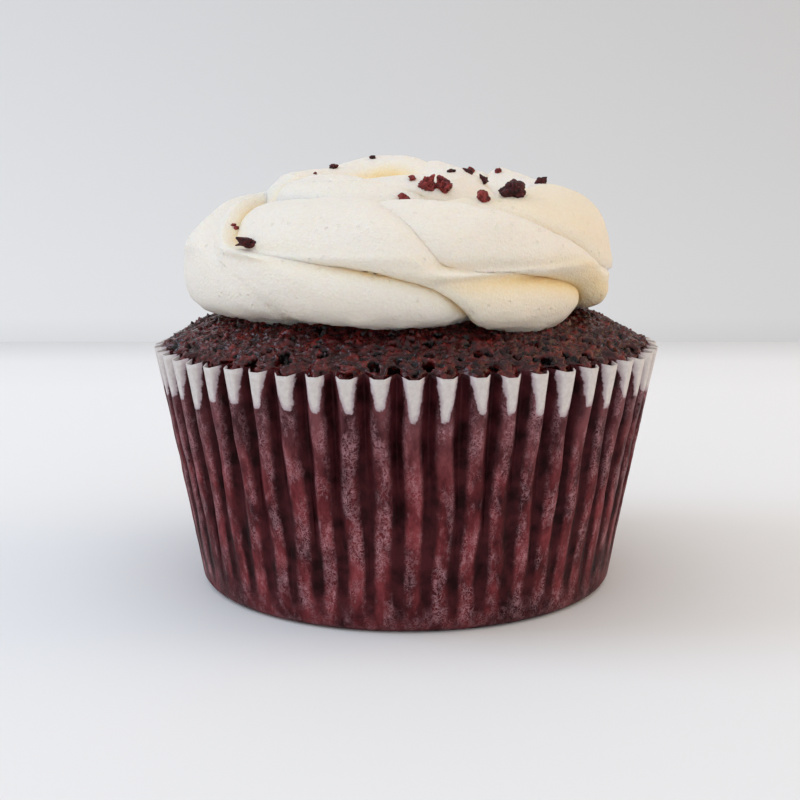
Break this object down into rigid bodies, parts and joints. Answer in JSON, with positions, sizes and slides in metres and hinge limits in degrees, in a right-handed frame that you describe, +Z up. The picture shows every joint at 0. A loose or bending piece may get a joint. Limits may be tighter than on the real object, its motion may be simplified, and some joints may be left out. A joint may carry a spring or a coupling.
{
  "type": "cupcake",
  "caption": "Frosted cupcake in a pleated paper case, with a piped swirl of cream frosting and dark red crumbs on a dark red cake.",
  "frame": {"origin": "middle of the flat underside of the paper case, which rests on the table", "axes": "+Z up through the cake, -Y towards the side that is seen first"},
  "size_m": [0.0662, 0.0662, 0.0557],
  "materials": {
    "paper": "matte",
    "crumb": "satin",
    "frosting": "satin"
  },
  "bodies": {
    "root": {"paper_case": "paper", "cake": "crumb", "frosting": "frosting"}
  },
  "joints": []
}
